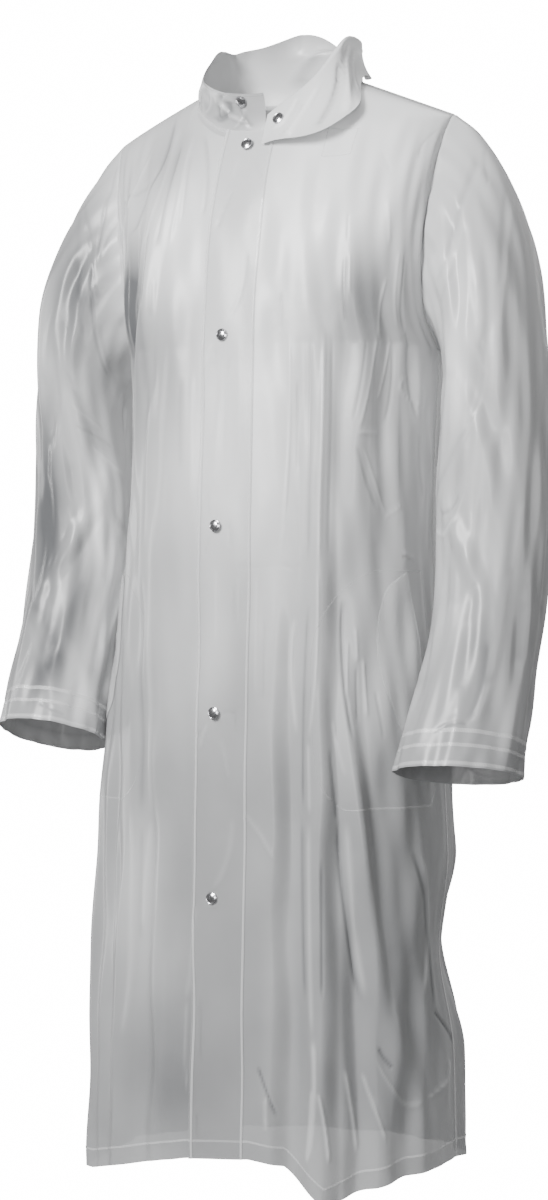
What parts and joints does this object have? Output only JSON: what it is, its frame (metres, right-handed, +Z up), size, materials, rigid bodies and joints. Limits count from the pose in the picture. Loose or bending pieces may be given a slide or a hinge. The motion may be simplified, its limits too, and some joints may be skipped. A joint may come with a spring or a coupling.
{
  "type": "raincoat",
  "caption": "Long straight see-through raincoat with a stand collar, a studded front, set-in sleeves and slanted flap pockets, in its worn shape.",
  "frame": {"origin": "middle of the neck opening, level with the neck points of the shoulder seams", "axes": "+Z up towards the head, -Y out of the closed front, +X to the wearer's left"},
  "size_m": [0.6357, 0.3258, 1.2721],
  "materials": {
    "film": "satin translucent film",
    "doubled_film": "satin translucent film, welded double",
    "patch": "matte",
    "stud_metal": "polished"
  },
  "bodies": {
    "root": {"front_left": "film", "front_right": "film", "back": "film", "sleeve_left": "film", "sleeve_right": "film", "collar": "film", "placket_left": "doubled_film", "hem_front_left": "doubled_film", "hem_front_right": "doubled_film", "hem_back": "doubled_film", "cuff_left": "doubled_film", "cuff_right": "doubled_film", "pocket_bag_left": "doubled_film", "pocket_bag_right": "doubled_film", "pocket_flap_left": "doubled_film", "pocket_flap_right": "doubled_film", "neck_patch": "patch", "collar_stud_left": "stud_metal", "collar_stud_right": "stud_metal", "stud_cap_1": "stud_metal", "stud_cap_2": "stud_metal", "stud_cap_3": "stud_metal", "stud_cap_4": "stud_metal", "stud_cap_5": "stud_metal", "stud_grip_1": "stud_metal", "stud_grip_2": "stud_metal", "stud_grip_3": "stud_metal", "stud_grip_4": "stud_metal", "stud_grip_5": "stud_metal"}
  },
  "joints": []
}
